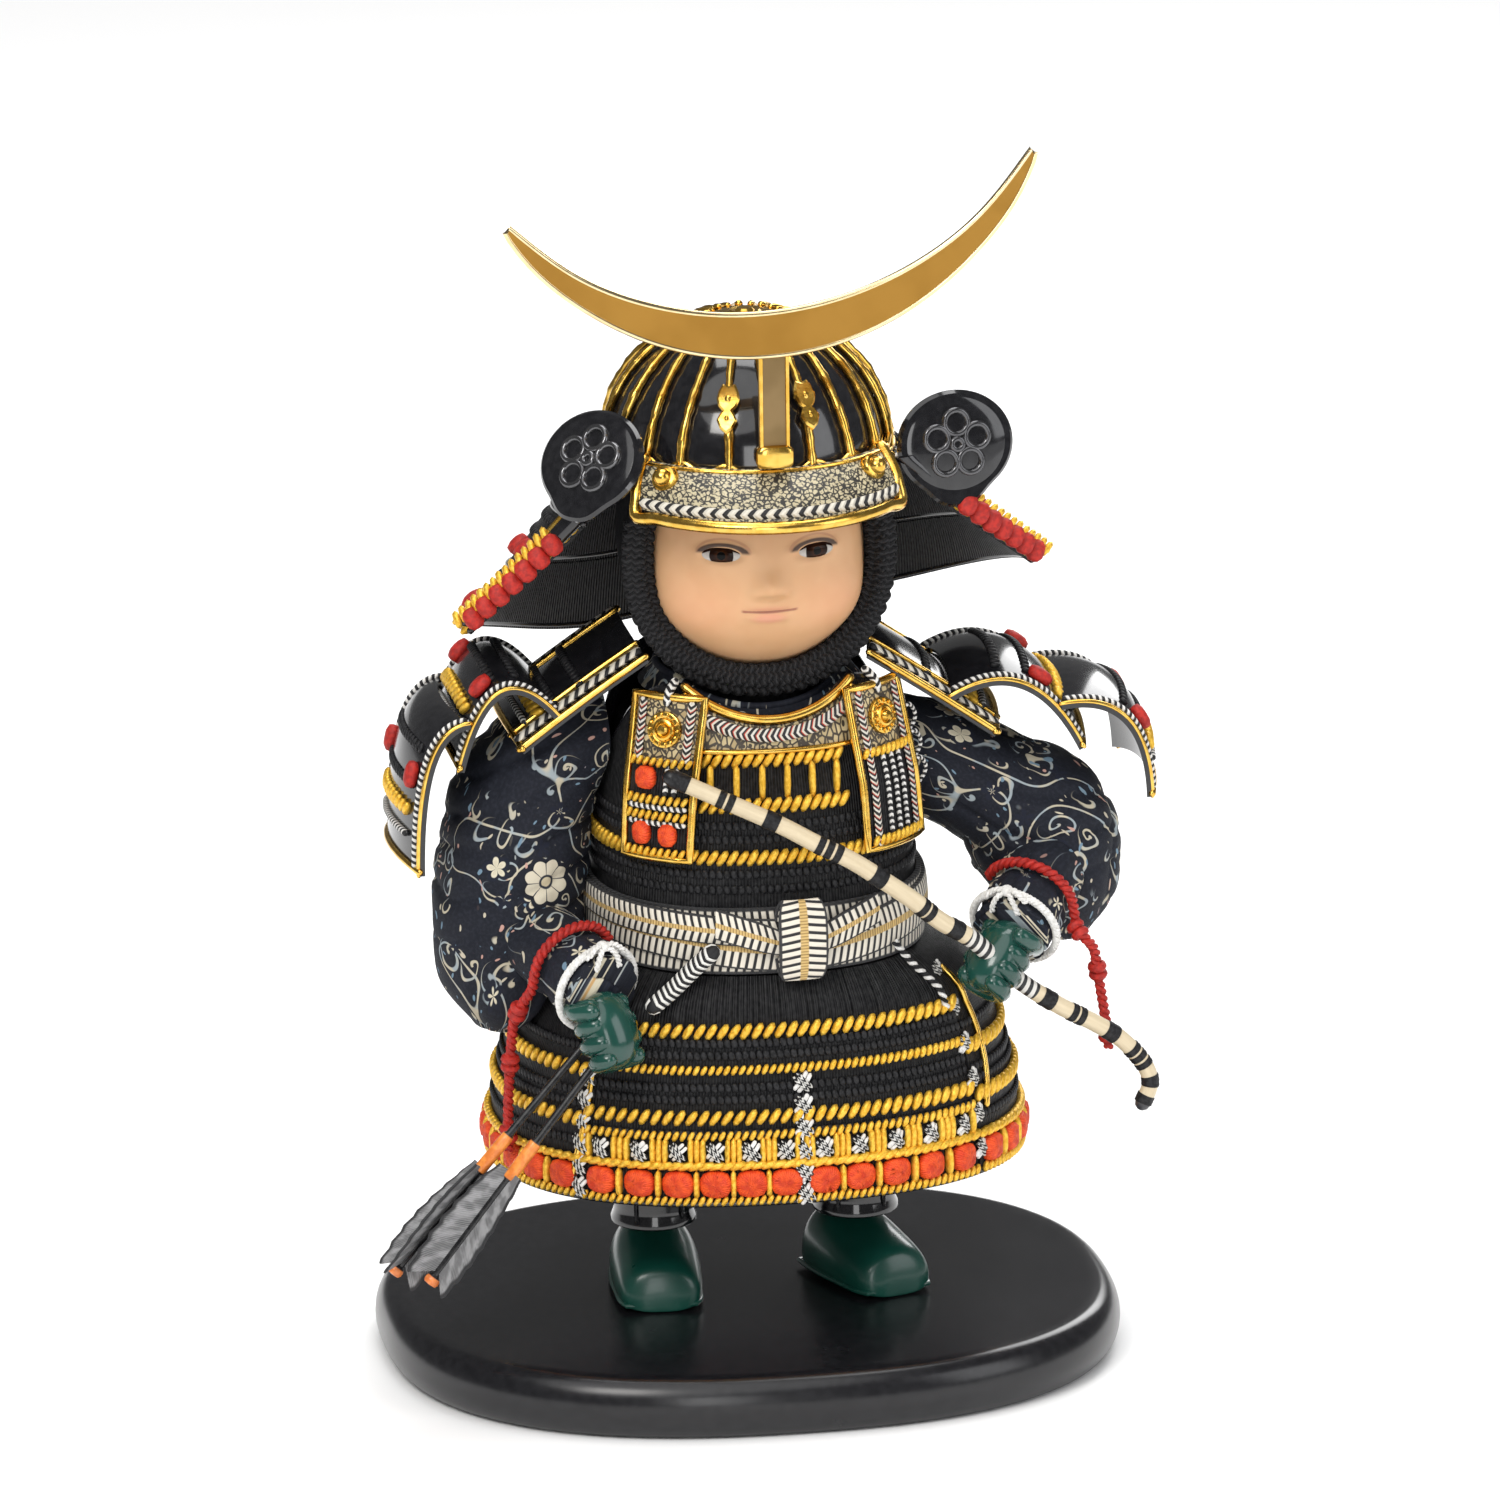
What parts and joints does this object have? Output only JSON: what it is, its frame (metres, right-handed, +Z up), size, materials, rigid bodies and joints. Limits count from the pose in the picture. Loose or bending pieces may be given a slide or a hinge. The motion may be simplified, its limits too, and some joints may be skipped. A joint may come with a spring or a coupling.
{
  "type": "samurai doll",
  "caption": "Standing samurai doll in laced armour with crescent-crested helmet, bow and arrows, on an oval display base.",
  "frame": {"origin": "centre of the underside of the oval base", "axes": "+Z up along the standing doll; the doll faces -Y, its own left arm is on +X"},
  "size_m": [0.237, 0.19, 0.3678],
  "materials": {
    "lacquered_wood": "satin black lacquer",
    "black_lacquer": "high gloss black lacquer",
    "green_enamel": "gloss dark green enamel",
    "black_cloth": "matte black cloth",
    "black_cord": "knitted black cord",
    "brocade": "navy brocade with beige scrolls and blossoms",
    "laced_plates": "black plates bound in black and gold lacing",
    "leather_print": "printed leather, beige with a fine dark pattern",
    "gilt": "polished gilt",
    "satin_gold": "satin gold",
    "striped_sash": "flat woven cord with fine black and white stripes",
    "white_cord": "white braided cord",
    "red_cord": "red twisted cord",
    "skin": "matte skin paint",
    "eye_glass": "gloss dark brown",
    "bamboo": "pale bamboo with dark bindings",
    "arrow_shaft": "black shaft with an orange band and grey vanes"
  },
  "bodies": {
    "root": {"display_base": "lacquered_wood", "boot_right": "green_enamel", "boot_left": "green_enamel", "shin_guard_right": "black_lacquer", "shin_guard_left": "black_lacquer", "body": "black_cloth", "robe_collar": "brocade", "cuirass": "laced_plates", "chest_plate": "leather_print", "neckline_rim": "gilt", "breast_guard_right": "leather_print", "breast_guard_left": "leather_print", "sash": "striped_sash", "sash_knot": "striped_sash", "sash_cord_end": "striped_sash", "skirt_front_upper": "laced_plates", "skirt_front_lower_right": "laced_plates", "skirt_front_lower_left": "laced_plates", "skirt_right": "laced_plates", "skirt_left": "laced_plates", "skirt_back": "laced_plates", "sleeve_right": "brocade", "sleeve_left": "brocade", "cuff_right": "brocade", "cuff_left": "brocade", "hand_right": "green_enamel", "hand_left": "green_enamel", "cuff_cord_right": "white_cord", "cuff_cord_left": "white_cord", "sleeve_cord_right": "red_cord", "sleeve_cord_left": "red_cord", "shoulder_guard_right_1": "black_lacquer", "shoulder_guard_right_2": "black_lacquer", "shoulder_guard_right_3": "black_lacquer", "shoulder_guard_left_1": "black_lacquer", "shoulder_guard_left_2": "black_lacquer", "shoulder_guard_left_3": "black_lacquer", "head": "skin", "eye_right": "eye_glass", "eye_left": "eye_glass", "hood": "black_cloth", "chin_cord": "black_cord", "helmet_bowl": "black_lacquer", "helmet_ribs": "gilt", "visor": "leather_print", "visor_rim": "gilt", "crest_holder": "satin_gold", "crest": "satin_gold", "neck_guard_row_1": "laced_plates", "neck_guard_row_2": "laced_plates", "neck_guard_row_3": "laced_plates", "flap_right": "black_lacquer", "flap_left": "black_lacquer", "bow": "bamboo", "arrow_1": "arrow_shaft", "arrow_2": "arrow_shaft"}
  },
  "joints": []
}
